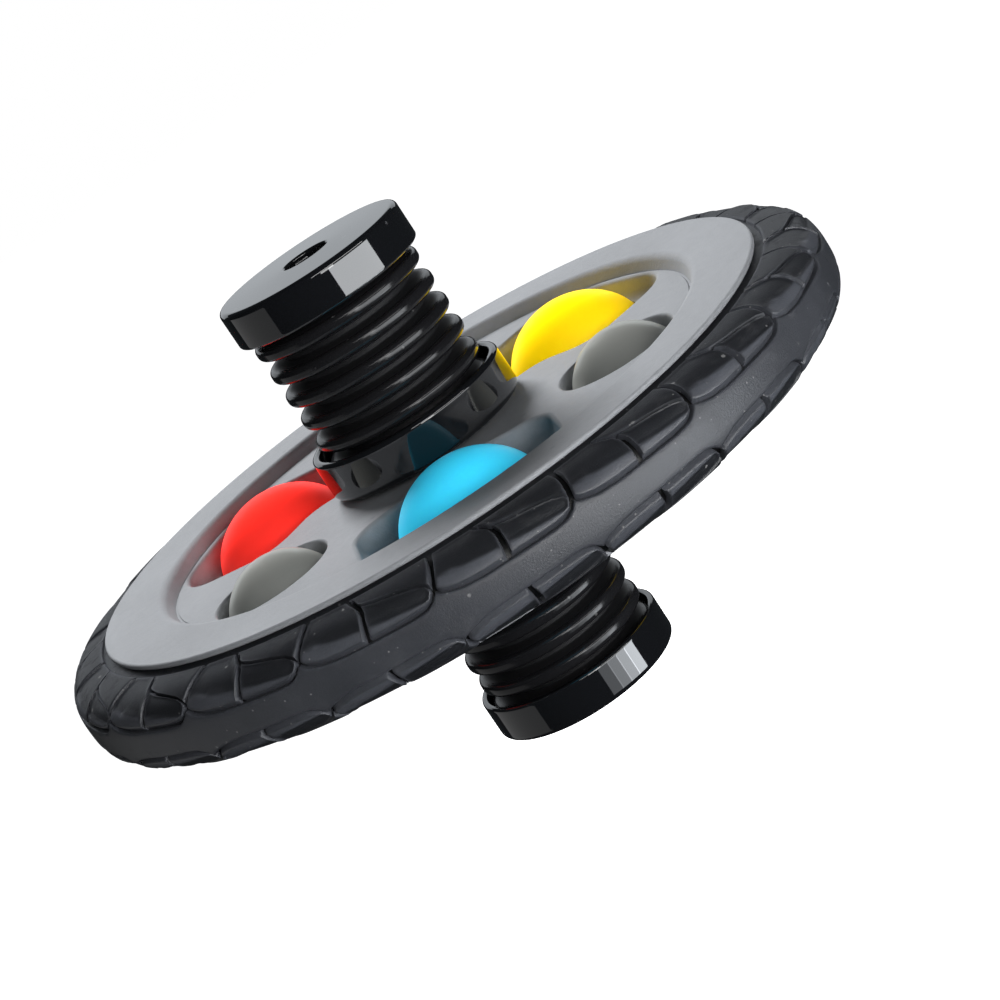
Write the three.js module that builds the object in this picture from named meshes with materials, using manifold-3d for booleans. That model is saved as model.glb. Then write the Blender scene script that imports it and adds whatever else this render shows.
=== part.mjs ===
// Fidget spinner: a tyred wheel that carries six loose balls and spins on a ball bearing between
// two sprung bellows grips.
// Millimetres, +Z up along the spin axis, origin at the centre of the wheel.
import * as THREE from 'three';
import { mergeVertices } from 'three/addons/utils/BufferGeometryUtils.js';
import Module from 'manifold-3d';

const wasm = await Module();
wasm.setup();

// ---- driving dimensions --------------------------------------------------------------------
// The wheel is sized from the bearing outwards: hub, balls, sunk floor, rim and tyre.
const BEARING_RADIUS = 8.0;
const BEARING_BORE_RADIUS = 4.0;
const BEARING_RING_WALL = 1.15;
const BEARING_BALL_COUNT = 7;
const RACE_DEPTH = 0.3;            // how far a race is sunk into its ring
const RACE_CLEARANCE = 0.05;
const CAGE_WALL = 0.35;
const CAGE_CLEARANCE = 0.12;
const CAGE_TO_SHIELD = 0.6;
const SHIELD_THICKNESS = 0.25;
const SHIELD_INSET = 0.15;
const FIT_CLEARANCE = 0.04;        // pressed and clamped round fits

const COLOUR_BALL_RADIUS = 6.9;
const COLOUR_BALL_FLATTENING = 0.855;  // its height over its width
const STEEL_BALL_RADIUS = 5.5;
const POCKET_CLEARANCE = 0.2;
const HUB_WALL = 3.6;              // between the bearing and a coloured ball's pocket
const COLOUR_BALL_EDGE = 1.6;      // from a coloured ball to the edge of the sunk floor
const STEEL_BALL_EDGE = 1.2;

const HUB_LIP = 1.1;               // how far a shell reaches in over the bearing's outer ring
const HUB_LIP_THICKNESS = 0.86;
const FLOOR_DEPTH = 1.2;           // of the sunk floor below the rim's face
const FLOOR_WALL_DRAFT = 0.6;
const DISH_DEPTH = 1.0;            // of a window's dish below the sunk floor
const WINDOW_SIDE = 2.8;           // from a coloured ball to the side of its window
const WINDOW_THROAT_HALF_WIDTH = 2.4;
const WINDOW_HUB_WALL = 1.8;
const WINDOW_CORNER = 5.4;
const WINDOW_RIM_GAP = 0.8;        // between a window's outer end and the edge of the floor
const STEEL_WINDOW_RADIUS = 5.6;
const STEEL_WINDOW_CHAMFER = 0.9;
const RIM_FACE_WIDTH = 6.9;
const RIM_EDGE_ROUND = 0.3;
const RIM_FLANGE = 0.5;            // height of the flange that holds the tyre's bead
const RIM_INNER_WALL = 1.0;        // around the hollow inside the rim
const RIM_WALL = 1.6;
const SEAT_DEPTH = 1.9;            // of the tyre's seat below the flange
const SHELL_SPLIT_GAP = 0.3;       // between the two shells at mid height
const TYRE_HEIGHT = 5.2;           // of the tyre beyond the rim
const TYRE_FULLNESS = 2.8;         // 2 gives an elliptical section, more gives a squarer one
const TYRE_CLEARANCE = 0.08;

const AXLE_WALL = 1.7;
const AXLE_REACH = 2.3;            // of the axle past the floor of a collar
const SPACER_WALL = 1.0;
const COLLAR_HEIGHT = 4.0;
const COLLAR_LIFT = 0.4;           // running gap between a collar and the wheel's floor
const COLLAR_WALL = 0.85;
const COLLAR_FLOOR = 1.1;
const COLLAR_GAP = 0.45;           // around the bellows
const EDGE_ROUND = 0.4;

const GRIP_LENGTH = 19.8;          // from a collar's foot to the end of its cap
const CAP_HEIGHT = 3.8;
const CAP_WALL = 0.6;
const CAP_GAP = 0.2;               // around the bellows
const CAP_TOP = 1.3;
const CAP_BOSS_HEIGHT = 1.3;
const CAP_BOSS_WIDTH = 0.2;        // of the boss beyond the stem's flange
const CAP_HOLE_RADIUS = 2.2;
const CAP_HOLE_DEPTH = 1.7;
const BELLOWS_END_GAP = 0.15;

const RIB_DEPTH = 1.95;
const RIB_COUNT = 7;
const RIB_TIP_SHARE = 0.35;        // share of a rib's pitch that its tip takes
const BELLOWS_WALL = 1.1;
const BELLOWS_BORE_GAP = 1.2;      // around the stem's flange

const PRESS_TRAVEL = 4.0;
const STEM_CLEARANCE = 0.25;
const STEM_FLANGE_WIDTH = 0.24;    // of the flange beyond the spring
const STEM_FLANGE_HEIGHT = 1.2;
const STEM_END_GAP = 1.6;          // left between the two stems when both ends are pressed

const SPRING_WIRE_RADIUS = 0.4;
const SPRING_TURNS = 5;
const SPRING_END_GAP = 0.1;

const SCREW_HEAD_RADIUS = 1.95;
const SCREW_HEAD_HEIGHT = 1.0;
const SCREW_SHANK_RADIUS = 1.0;
const SCREW_LENGTH = 6.0;
const SCREW_SOCKET_RADIUS = 0.85;
const SCREW_SOCKET_DEPTH = 0.6;
const SCREW_CLEARANCE = 0.12;

const WHEEL_SIDES = 48;
const GRIP_SIDES = 28;
const SMALL_SIDES = 20;

// ---- sizes that follow ---------------------------------------------------------------------
const raceWidth = BEARING_RADIUS - BEARING_BORE_RADIUS - 2 * BEARING_RING_WALL;
const bearingBallRadius = raceWidth / 2 + RACE_DEPTH;
const pitchRadius = (BEARING_BORE_RADIUS + BEARING_RADIUS) / 2;
const cageHalfWidth = bearingBallRadius + CAGE_WALL;
const bearingHalfWidth = cageHalfWidth + CAGE_TO_SHIELD + SHIELD_THICKNESS + SHIELD_INSET;

const colourBallOrbit = BEARING_RADIUS + HUB_WALL + POCKET_CLEARANCE + COLOUR_BALL_RADIUS;
const floorRadius = colourBallOrbit + COLOUR_BALL_RADIUS + COLOUR_BALL_EDGE;
const steelBallOrbit = floorRadius - STEEL_BALL_EDGE - STEEL_BALL_RADIUS;
const rimRadius = floorRadius + RIM_FACE_WIDTH;
const seatRadius = rimRadius - SEAT_DEPTH;
const tyreRadius = rimRadius + TYRE_HEIGHT;
const windowHalfWidth = COLOUR_BALL_RADIUS + WINDOW_SIDE;

const splitZ = SHELL_SPLIT_GAP / 2;
const lipZ = bearingHalfWidth + FIT_CLEARANCE;
const floorZ = lipZ + HUB_LIP_THICKNESS;
const dishZ = floorZ - DISH_DEPTH;
const rimZ = floorZ + FLOOR_DEPTH;
const flangeZ = rimZ - RIM_FLANGE;

const collarZ = floorZ + COLLAR_LIFT;
const collarRimZ = collarZ + COLLAR_HEIGHT;
const collarFloorZ = collarZ + COLLAR_FLOOR;
const axleRadius = BEARING_BORE_RADIUS - FIT_CLEARANCE;
const axleBoreRadius = axleRadius - AXLE_WALL;
const axleEndZ = collarFloorZ + AXLE_REACH;
const spacerRadius = BEARING_BORE_RADIUS + SPACER_WALL;

const endZ = collarZ + GRIP_LENGTH;
const capRimZ = endZ - CAP_HEIGHT;
const capCeilingZ = endZ - CAP_TOP;
const capBossZ = capCeilingZ - CAP_BOSS_HEIGHT;
const screwSeatZ = endZ - CAP_HOLE_DEPTH;
const stemRadius = axleBoreRadius - STEM_CLEARANCE;
const stemFlangeRadius = axleRadius + STEM_FLANGE_WIDTH;
const stemTopZ = capBossZ - FIT_CLEARANCE;
const stemFlangeZ = stemTopZ - STEM_FLANGE_HEIGHT;
const stemEndZ = PRESS_TRAVEL + STEM_END_GAP / 2;

const bellowsBoreRadius = stemFlangeRadius + BELLOWS_BORE_GAP;
const grooveRadius = bellowsBoreRadius + BELLOWS_WALL;
const ribRadius = grooveRadius + RIB_DEPTH;
const collarInnerRadius = ribRadius + COLLAR_GAP;
const collarRadius = collarInnerRadius + COLLAR_WALL;
const capInnerRadius = ribRadius + CAP_GAP;
const capRadius = capInnerRadius + CAP_WALL;

const thirdTurn = (2 * Math.PI) / 3;
const frontAzimuth = -Math.PI / 2;

// ---- geometry helpers ----------------------------------------------------------------------
// Revolves a profile of [radius, height] points about +Z. The profile runs anticlockwise as seen
// with radius to the right and height up, and it closes on itself or starts and ends on the axis.
function revolve(profile, sides) {
  const points = profile.map(([radius, height]) => new THREE.Vector2(radius, height));
  if (profile[0][0] > 0) {
    points.push(points[0].clone());
  }
  return new THREE.LatheGeometry(points, sides).rotateX(Math.PI / 2);
}

function toSolid(geometry) {
  const bare = geometry.clone();
  bare.deleteAttribute('normal');
  bare.deleteAttribute('uv');
  const merged = mergeVertices(bare);
  return new wasm.Manifold(new wasm.Mesh({
    numProp: 3,
    vertProperties: new Float32Array(merged.attributes.position.array),
    triVerts: new Uint32Array(merged.index.array),
  }));
}

function toGeometry(solid) {
  const mesh = solid.getMesh();
  const geometry = new THREE.BufferGeometry();
  geometry.setAttribute('position', new THREE.BufferAttribute(mesh.vertProperties, 3));
  geometry.setIndex(new THREE.BufferAttribute(mesh.triVerts, 1));
  return geometry;
}

function ballGeometry(radius, around, along) {
  return new THREE.SphereGeometry(radius, around, along).rotateX(Math.PI / 2);
}

function onOrbit(geometry, orbit, azimuth) {
  return geometry.rotateZ(azimuth).translate(orbit * Math.cos(azimuth), orbit * Math.sin(azimuth), 0);
}

// ---- materials -----------------------------------------------------------------------------
function finish(color, roughness, metalness) {
  return { color, roughness, metalness };
}

const greyPlastic = finish(0x8f9396, 0.6, 0);
const blackGloss = finish(0x0b0c0e, 0.12, 0);
const tyreRubber = finish(0x3a3b3e, 0.65, 0);
const bellowsRubber = finish(0x101113, 0.35, 0);
const satinSteel = finish(0x8b8f88, 0.4, 1);
const polishedSteel = finish(0xc4c6c8, 0.15, 1);
const brass = finish(0xb89a50, 0.35, 1);

const spinner = new THREE.Group();

function addMesh(parent, name, geometry, look) {
  const mesh = new THREE.Mesh(geometry, new THREE.MeshStandardMaterial(look));
  mesh.name = name;
  parent.add(mesh);
  return mesh;
}

// Both grips are one design: the lower one is the upper one turned half a turn about Y.
const upperSide = new THREE.Group();
const lowerSide = new THREE.Group();
lowerSide.rotation.y = Math.PI;
spinner.add(upperSide, lowerSide);
const sides = [['upper', upperSide], ['lower', lowerSide]];

// ---- tyre ----------------------------------------------------------------------------------
function tyreGeometry() {
  const innerRadius = seatRadius + TYRE_CLEARANCE;
  const halfWidth = flangeZ - TYRE_CLEARANCE;
  const shoulderRadius = rimRadius + TYRE_CLEARANCE;
  const steps = 12;
  const power = 2 / TYRE_FULLNESS;
  const profile = [[innerRadius, halfWidth], [innerRadius, -halfWidth]];
  for (let i = 0; i <= steps; i += 1) {
    const angle = -Math.PI / 2 + (Math.PI * i) / steps;
    const outward = Math.abs(Math.cos(angle)) ** power;
    const upward = Math.sign(Math.sin(angle)) * Math.abs(Math.sin(angle)) ** power;
    const radius = shoulderRadius + (tyreRadius - shoulderRadius) * outward;
    profile.push([radius, halfWidth * upward]);
  }
  return revolve(profile, WHEEL_SIDES);
}

// ---- wheel shells --------------------------------------------------------------------------
function shellBlank() {
  const hollowOuter = seatRadius - RIM_WALL;
  const hollowInner = floorRadius + RIM_INNER_WALL;
  const hollowZ = rimZ - RIM_WALL;
  const seat = BEARING_RADIUS + FIT_CLEARANCE;
  return revolve([
    [seat, splitZ],
    [hollowInner, splitZ],
    [hollowInner, hollowZ],
    [hollowOuter, hollowZ],
    [hollowOuter, splitZ],
    [seatRadius, splitZ],
    [seatRadius, flangeZ],
    [rimRadius, flangeZ],
    [rimRadius, rimZ - RIM_EDGE_ROUND],
    [rimRadius - RIM_EDGE_ROUND, rimZ],
    [floorRadius + FLOOR_WALL_DRAFT, rimZ],
    [floorRadius, floorZ],
    [BEARING_RADIUS - HUB_LIP, floorZ],
    [BEARING_RADIUS - HUB_LIP, lipZ],
    [seat, lipZ],
  ], WHEEL_SIDES);
}

// A window narrows to a throat beside the hub and has two round corners towards the rim.
function windowCutter() {
  const throatX = BEARING_RADIUS + WINDOW_HUB_WALL;
  const shoulderX = colourBallOrbit - COLOUR_BALL_RADIUS / 2;
  const outerX = floorRadius - WINDOW_RIM_GAP;
  const cornerX = outerX - WINDOW_CORNER;
  const cornerY = windowHalfWidth - WINDOW_CORNER;
  const flankX = (throatX + shoulderX) / 2;
  const flankY = (WINDOW_THROAT_HALF_WIDTH + windowHalfWidth) / 3;
  const shape = new THREE.Shape();
  shape.moveTo(throatX, -WINDOW_THROAT_HALF_WIDTH);
  shape.bezierCurveTo(flankX, -flankY, flankX, -windowHalfWidth, shoulderX, -windowHalfWidth);
  shape.lineTo(cornerX, -windowHalfWidth);
  shape.quadraticCurveTo(outerX, -windowHalfWidth, outerX, -cornerY);
  shape.lineTo(outerX, cornerY);
  shape.quadraticCurveTo(outerX, windowHalfWidth, cornerX, windowHalfWidth);
  shape.lineTo(shoulderX, windowHalfWidth);
  shape.bezierCurveTo(flankX, windowHalfWidth, flankX, flankY, throatX, WINDOW_THROAT_HALF_WIDTH);
  const options = { depth: rimZ, bevelEnabled: false, curveSegments: 4 };
  return new THREE.ExtrudeGeometry(shape, options).translate(0, 0, dishZ);
}

function steelWindowCutter() {
  const height = rimZ;
  const topRadius = STEEL_WINDOW_RADIUS + height - STEEL_WINDOW_CHAMFER;
  const bottomRadius = STEEL_WINDOW_RADIUS - STEEL_WINDOW_CHAMFER;
  const cutter = new THREE.CylinderGeometry(topRadius, bottomRadius, height, SMALL_SIDES);
  return cutter.rotateX(Math.PI / 2).translate(0, 0, floorZ - STEEL_WINDOW_CHAMFER + height / 2);
}

function shellGeometry() {
  let solid = toSolid(shellBlank());
  for (let i = 0; i < 3; i += 1) {
    const colourAzimuth = frontAzimuth + i * thirdTurn;
    const steelAzimuth = colourAzimuth + thirdTurn / 2;
    const window = windowCutter().rotateZ(colourAzimuth);
    const pocket = ballGeometry(COLOUR_BALL_RADIUS + POCKET_CLEARANCE, 20, 10);
    const steelWindow = onOrbit(steelWindowCutter(), steelBallOrbit, steelAzimuth);
    const steelPocket = ballGeometry(STEEL_BALL_RADIUS + POCKET_CLEARANCE, 16, 10);
    solid = solid.subtract(toSolid(window));
    solid = solid.subtract(toSolid(onOrbit(pocket, colourBallOrbit, colourAzimuth)));
    solid = solid.subtract(toSolid(steelWindow));
    solid = solid.subtract(toSolid(onOrbit(steelPocket, steelBallOrbit, steelAzimuth)));
  }
  return toGeometry(solid);
}

// ---- bearing -------------------------------------------------------------------------------
function raceGroove(radius, direction) {
  const groove = [];
  const steps = 4;
  const reach = 0.7 * bearingBallRadius;
  for (let i = 0; i <= steps; i += 1) {
    const height = -reach + (2 * reach * i) / steps;
    const depth = Math.sqrt((bearingBallRadius + RACE_CLEARANCE) ** 2 - height ** 2);
    groove.push([radius + direction * depth, height]);
  }
  return groove;
}

function outerRingGeometry() {
  const land = BEARING_RADIUS - BEARING_RING_WALL;
  return revolve([
    [BEARING_RADIUS, -bearingHalfWidth],
    [BEARING_RADIUS, bearingHalfWidth],
    [land, bearingHalfWidth],
    ...raceGroove(pitchRadius, 1).reverse(),
    [land, -bearingHalfWidth],
  ], GRIP_SIDES);
}

function innerRingGeometry() {
  const land = BEARING_BORE_RADIUS + BEARING_RING_WALL;
  return revolve([
    [BEARING_BORE_RADIUS, bearingHalfWidth],
    [BEARING_BORE_RADIUS, -bearingHalfWidth],
    [land, -bearingHalfWidth],
    ...raceGroove(pitchRadius, -1),
    [land, bearingHalfWidth],
  ], GRIP_SIDES);
}

function cageGeometry() {
  const blank = revolve([
    [pitchRadius - CAGE_WALL, -cageHalfWidth],
    [pitchRadius + CAGE_WALL, -cageHalfWidth],
    [pitchRadius + CAGE_WALL, cageHalfWidth],
    [pitchRadius - CAGE_WALL, cageHalfWidth],
  ], GRIP_SIDES);
  let solid = toSolid(blank);
  for (let i = 0; i < BEARING_BALL_COUNT; i += 1) {
    const azimuth = (2 * Math.PI * i) / BEARING_BALL_COUNT;
    const pocket = ballGeometry(bearingBallRadius + CAGE_CLEARANCE, 8, 6);
    solid = solid.subtract(toSolid(onOrbit(pocket, pitchRadius, azimuth)));
  }
  return toGeometry(solid);
}

function shieldGeometry() {
  const top = bearingHalfWidth - SHIELD_INSET;
  const bottom = top - SHIELD_THICKNESS;
  const outer = BEARING_RADIUS - BEARING_RING_WALL - FIT_CLEARANCE;
  const inner = BEARING_BORE_RADIUS + BEARING_RING_WALL + SHIELD_INSET;
  return revolve([[inner, bottom], [outer, bottom], [outer, top], [inner, top]], GRIP_SIDES);
}

// ---- axle and grips ------------------------------------------------------------------------
function axleGeometry() {
  return revolve([
    [axleBoreRadius, -axleEndZ],
    [axleRadius, -axleEndZ],
    [axleRadius, axleEndZ],
    [axleBoreRadius, axleEndZ],
  ], GRIP_SIDES);
}

function collarGeometry() {
  const bore = axleRadius + FIT_CLEARANCE;
  return revolve([
    [bore, lipZ],
    [spacerRadius, lipZ],
    [spacerRadius, collarZ],
    [collarRadius - EDGE_ROUND, collarZ],
    [collarRadius, collarZ + EDGE_ROUND],
    [collarRadius, collarRimZ - EDGE_ROUND],
    [collarRadius - EDGE_ROUND, collarRimZ],
    [collarInnerRadius, collarRimZ],
    [collarInnerRadius, collarFloorZ],
    [bore, collarFloorZ],
  ], GRIP_SIDES);
}

function bellowsGeometry() {
  const bottom = collarFloorZ + BELLOWS_END_GAP;
  const top = capCeilingZ - BELLOWS_END_GAP;
  const pitch = (top - bottom) / RIB_COUNT;
  const tip = (pitch * RIB_TIP_SHARE) / 2;
  const profile = [[bellowsBoreRadius, top], [bellowsBoreRadius, bottom]];
  for (let i = 0; i < RIB_COUNT; i += 1) {
    const middle = bottom + pitch * (i + 0.5);
    profile.push([grooveRadius, middle - pitch / 2]);
    profile.push([ribRadius, middle - tip]);
    profile.push([ribRadius, middle + tip]);
  }
  profile.push([grooveRadius, top]);
  return revolve(profile, SMALL_SIDES);
}

function capGeometry() {
  const capBossRadius = stemFlangeRadius + CAP_BOSS_WIDTH;
  const throughRadius = SCREW_SHANK_RADIUS + SCREW_CLEARANCE;
  return revolve([
    [throughRadius, capBossZ],
    [capBossRadius, capBossZ],
    [capBossRadius, capCeilingZ],
    [capInnerRadius, capCeilingZ],
    [capInnerRadius, capRimZ],
    [capRadius - EDGE_ROUND, capRimZ],
    [capRadius, capRimZ + EDGE_ROUND],
    [capRadius, endZ - EDGE_ROUND],
    [capRadius - EDGE_ROUND, endZ],
    [CAP_HOLE_RADIUS, endZ],
    [CAP_HOLE_RADIUS, screwSeatZ],
    [throughRadius, screwSeatZ],
  ], GRIP_SIDES);
}

function stemGeometry() {
  const holeRadius = SCREW_SHANK_RADIUS + SCREW_CLEARANCE;
  const screwEndZ = screwSeatZ + FIT_CLEARANCE - SCREW_LENGTH;
  const holeZ = screwEndZ - SCREW_CLEARANCE;
  return revolve([
    [0, stemEndZ],
    [stemRadius, stemEndZ],
    [stemRadius, stemFlangeZ],
    [stemFlangeRadius, stemFlangeZ],
    [stemFlangeRadius, stemTopZ],
    [holeRadius, stemTopZ],
    [holeRadius, holeZ],
    [0, holeZ],
  ], SMALL_SIDES);
}

function screwGeometry() {
  const seatZ = screwSeatZ + FIT_CLEARANCE;
  const headZ = seatZ + SCREW_HEAD_HEIGHT;
  return revolve([
    [0, seatZ - SCREW_LENGTH],
    [SCREW_SHANK_RADIUS, seatZ - SCREW_LENGTH],
    [SCREW_SHANK_RADIUS, seatZ],
    [SCREW_HEAD_RADIUS, seatZ],
    [SCREW_HEAD_RADIUS, headZ],
    [SCREW_SOCKET_RADIUS, headZ],
    [SCREW_SOCKET_RADIUS, headZ - SCREW_SOCKET_DEPTH],
    [0, headZ - SCREW_SOCKET_DEPTH],
  ], SMALL_SIDES);
}

class Helix extends THREE.Curve {
  constructor(radius, bottom, top, turns) {
    super();
    this.radius = radius;
    this.bottom = bottom;
    this.top = top;
    this.turns = turns;
  }

  getPoint(t, target = new THREE.Vector3()) {
    const angle = 2 * Math.PI * this.turns * t;
    const height = this.bottom + (this.top - this.bottom) * t;
    return target.set(this.radius * Math.cos(angle), this.radius * Math.sin(angle), height);
  }
}

function springGeometry() {
  const coilRadius = axleRadius - SPRING_WIRE_RADIUS;
  const bottom = axleEndZ + SPRING_END_GAP + SPRING_WIRE_RADIUS;
  const top = stemFlangeZ - SPRING_END_GAP - SPRING_WIRE_RADIUS;
  const wire = new THREE.Shape();
  const wireSides = 5;
  for (let i = 0; i < wireSides; i += 1) {
    const angle = (2 * Math.PI * i) / wireSides;
    const x = SPRING_WIRE_RADIUS * Math.cos(angle);
    const y = SPRING_WIRE_RADIUS * Math.sin(angle);
    if (i === 0) {
      wire.moveTo(x, y);
    } else {
      wire.lineTo(x, y);
    }
  }
  const path = new Helix(coilRadius, bottom, top, SPRING_TURNS);
  const options = { steps: SPRING_TURNS * 10, bevelEnabled: false, extrudePath: path };
  return new THREE.ExtrudeGeometry(wire, options);
}

// ---- assembly ------------------------------------------------------------------------------
addMesh(spinner, 'tyre', tyreGeometry(), tyreRubber);

function placeOnOrbit(mesh, orbit, azimuth) {
  mesh.position.set(orbit * Math.cos(azimuth), orbit * Math.sin(azimuth), 0);
}

const colourBalls = [['blue_ball', 0x00bff2], ['yellow_ball', 0xffd400], ['red_ball', 0xf5302c]];
const steelBalls = ['steel_ball_right', 'steel_ball_back', 'steel_ball_left'];
for (let i = 0; i < 3; i += 1) {
  const azimuth = frontAzimuth + i * thirdTurn;
  const [name, color] = colourBalls[i];
  const colourBall = ballGeometry(COLOUR_BALL_RADIUS, 16, 10);
  colourBall.scale(1, 1, COLOUR_BALL_FLATTENING);
  placeOnOrbit(addMesh(spinner, name, colourBall, finish(color, 0.4, 0)), colourBallOrbit, azimuth);
  const steelBall = ballGeometry(STEEL_BALL_RADIUS, 16, 8);
  const steelMesh = addMesh(spinner, steelBalls[i], steelBall, satinSteel);
  placeOnOrbit(steelMesh, steelBallOrbit, azimuth + thirdTurn / 2);
}

addMesh(spinner, 'bearing_outer_ring', outerRingGeometry(), polishedSteel);
addMesh(spinner, 'bearing_inner_ring', innerRingGeometry(), polishedSteel);
addMesh(spinner, 'bearing_cage', cageGeometry(), brass);
for (let i = 0; i < BEARING_BALL_COUNT; i += 1) {
  const ball = ballGeometry(bearingBallRadius, 8, 5);
  const mesh = addMesh(spinner, `bearing_ball_${i + 1}`, ball, polishedSteel);
  placeOnOrbit(mesh, pitchRadius, (2 * Math.PI * i) / BEARING_BALL_COUNT);
}
addMesh(spinner, 'axle', axleGeometry(), satinSteel);

for (const [side, group] of sides) {
  addMesh(group, `${side}_wheel_shell`, shellGeometry(), greyPlastic);
  addMesh(group, `${side}_bearing_shield`, shieldGeometry(), polishedSteel);
  addMesh(group, `${side}_collar`, collarGeometry(), blackGloss);
  addMesh(group, `${side}_bellows`, bellowsGeometry(), bellowsRubber);
  addMesh(group, `${side}_spring`, springGeometry(), satinSteel);
  addMesh(group, `${side}_stem`, stemGeometry(), satinSteel);
  addMesh(group, `${side}_cap`, capGeometry(), blackGloss);
  addMesh(group, `${side}_cap_screw`, screwGeometry(), polishedSteel);
}

export default spinner;
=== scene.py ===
import math

import bmesh
import bpy
from bpy.props import FloatProperty, FloatVectorProperty, IntProperty, PointerProperty
from bpy.types import Operator, Panel, PropertyGroup
from mathutils import Matrix, Vector


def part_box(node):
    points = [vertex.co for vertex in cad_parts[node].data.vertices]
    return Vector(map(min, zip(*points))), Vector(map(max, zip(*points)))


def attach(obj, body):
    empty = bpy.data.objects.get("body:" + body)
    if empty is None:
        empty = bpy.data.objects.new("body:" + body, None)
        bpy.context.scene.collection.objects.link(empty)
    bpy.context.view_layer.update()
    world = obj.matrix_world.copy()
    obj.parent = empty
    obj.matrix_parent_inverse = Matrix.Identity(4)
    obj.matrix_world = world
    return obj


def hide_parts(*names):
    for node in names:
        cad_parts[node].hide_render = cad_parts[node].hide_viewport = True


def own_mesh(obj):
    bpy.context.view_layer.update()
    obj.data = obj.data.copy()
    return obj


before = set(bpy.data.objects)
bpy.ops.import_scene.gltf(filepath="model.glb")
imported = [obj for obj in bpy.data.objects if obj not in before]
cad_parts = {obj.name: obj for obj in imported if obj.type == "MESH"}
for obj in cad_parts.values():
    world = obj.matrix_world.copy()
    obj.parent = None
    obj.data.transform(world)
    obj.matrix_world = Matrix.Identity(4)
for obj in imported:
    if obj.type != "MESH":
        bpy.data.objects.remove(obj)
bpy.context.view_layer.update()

bl_info = {
    "name": "Bellows Grip Spinner",
    "version": (1, 0, 0),
    "blender": (4, 5, 0),
    "location": "3D View > Sidebar > Spinner",
    "description": "A tyred wheel with loose balls that spins between two sprung bellows grips",
    "category": "Add Mesh",
}

MM = 0.001
COLOUR_BALLS = ("blue_ball", "yellow_ball", "red_ball")
STEEL_BALLS = ("steel_ball_right", "steel_ball_back", "steel_ball_left")
# The lower half is the upper half turned over about the Y axis.
SIDES = (("upper", Matrix.Identity(4)), ("lower", Matrix.Rotation(math.pi, 4, "Y")))


# ---- places taken from the frame ---------------------------------------------------------------
def outer_radius(node):
    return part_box(node)[1].x


def lowest(node):
    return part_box(node)[0].z


def highest(node):
    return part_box(node)[1].z


def ball_place(node):
    low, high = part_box(node)
    return (low + high) / 2, (high.x - low.x) / 2


RIM_RADIUS = outer_radius("upper_wheel_shell")
RIM_TOP = highest("upper_wheel_shell")
SHELL_SPLIT = lowest("upper_wheel_shell")
TYRE_RADIUS = outer_radius("tyre")
TYRE_HALF_WIDTH = highest("tyre")
COLLAR_FOOT = lowest("upper_collar")
COLLAR_TOP = highest("upper_collar")
CAP_FOOT = lowest("upper_cap")
CAP_TOP = highest("upper_cap")

# ---- fits and fixed sizes ----------------------------------------------------------------------
SLIP = 0.04 * MM                # gap between parts that sit in one another
TYRE_GAP = 0.08 * MM            # gap between the tyre and the rim
RIM_SEAT_DEPTH = 1.9 * MM       # depth of the tyre's seat below the rim's edge
TYRE_SEAT_DEPTH = 1.82 * MM     # depth of the tyre's foot in that seat
RIM_WALL = 1.6 * MM             # wall round the hollow inside the rim
PRESS_TRAVEL = 4.0 * MM         # travel of a cap into its grip
SPRING_SEAT = 7.3 * MM          # height at which a spring's fixed end stands
SPRING_WIRE = 0.4 * MM          # radius of a spring's wire
EDGE_SUPPORT = 0.12 * MM        # reach of the narrow faces beside an edge
SCREW_SHANK = 1.0 * MM          # radius of a screw's shank
SCREW_HEAD = 1.0 * MM           # height of a screw's head
MERGE_GAP = 1e-7                # points closer than this are one


# ---- sizes and colours a user would change -----------------------------------------------------
def length(name, description, millimetres):
    return FloatProperty(name=name, description=description, default=millimetres * MM,
                         min=0.0, precision=5, subtype="DISTANCE", unit="LENGTH")


def colour(name, description, rgb):
    return FloatVectorProperty(name=name, description=description, default=rgb,
                               min=0.0, max=1.0, size=3, subtype="COLOR")


class SpinnerTyreSizes(PropertyGroup):
    """Sizes of the tyre and its tread"""
    repeats: IntProperty(name="Block pairs", default=19, min=6, max=40,
                         description="Pairs of tread blocks round the tyre")
    fullness: FloatProperty(name="Fullness", default=2.8, min=1.5, max=6.0,
                            description="2 is an elliptical section, more is squarer")
    tread_depth: length("Tread depth", "Height of the blocks above the grooves", 0.62)
    groove: length("Groove width", "Width of the grooves between the blocks", 0.5)
    edge_round: length("Block edge", "Rounding of the edges of the blocks", 0.2)
    crease_step: length("Crease step", "Step across the crease along a block", 0.16)


class SpinnerWheelSizes(PropertyGroup):
    """Sizes of the wheel's two shells"""
    floor_depth: length("Floor depth", "Depth of the sunk floor below the rim's face", 1.2)
    floor_radius: length("Floor radius", "Radius of the sunk floor", 27.2)
    floor_edge_round: length("Floor edge", "Rounding where the rim's face rolls down", 1.0)
    rim_edge_round: length("Rim edge", "Rounding of the rim's outer edge", 0.3)
    window_depth: length("Window depth", "Depth of a window's bowl below the floor", 2.2)
    window_half_width: length("Window half width", "Half a coloured ball's window's width", 9.7)
    window_corner: length("Window corner", "Rounding of a window's two outer corners", 5.6)
    window_reach: length("Window reach", "Radius at which a window ends, next to the rim", 26.3)
    steel_window: length("Steel window", "Radius of a steel ball's round window", 5.6)
    ball_gap: length("Ball gap", "Running gap between a ball and its pocket", 0.2)


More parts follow.
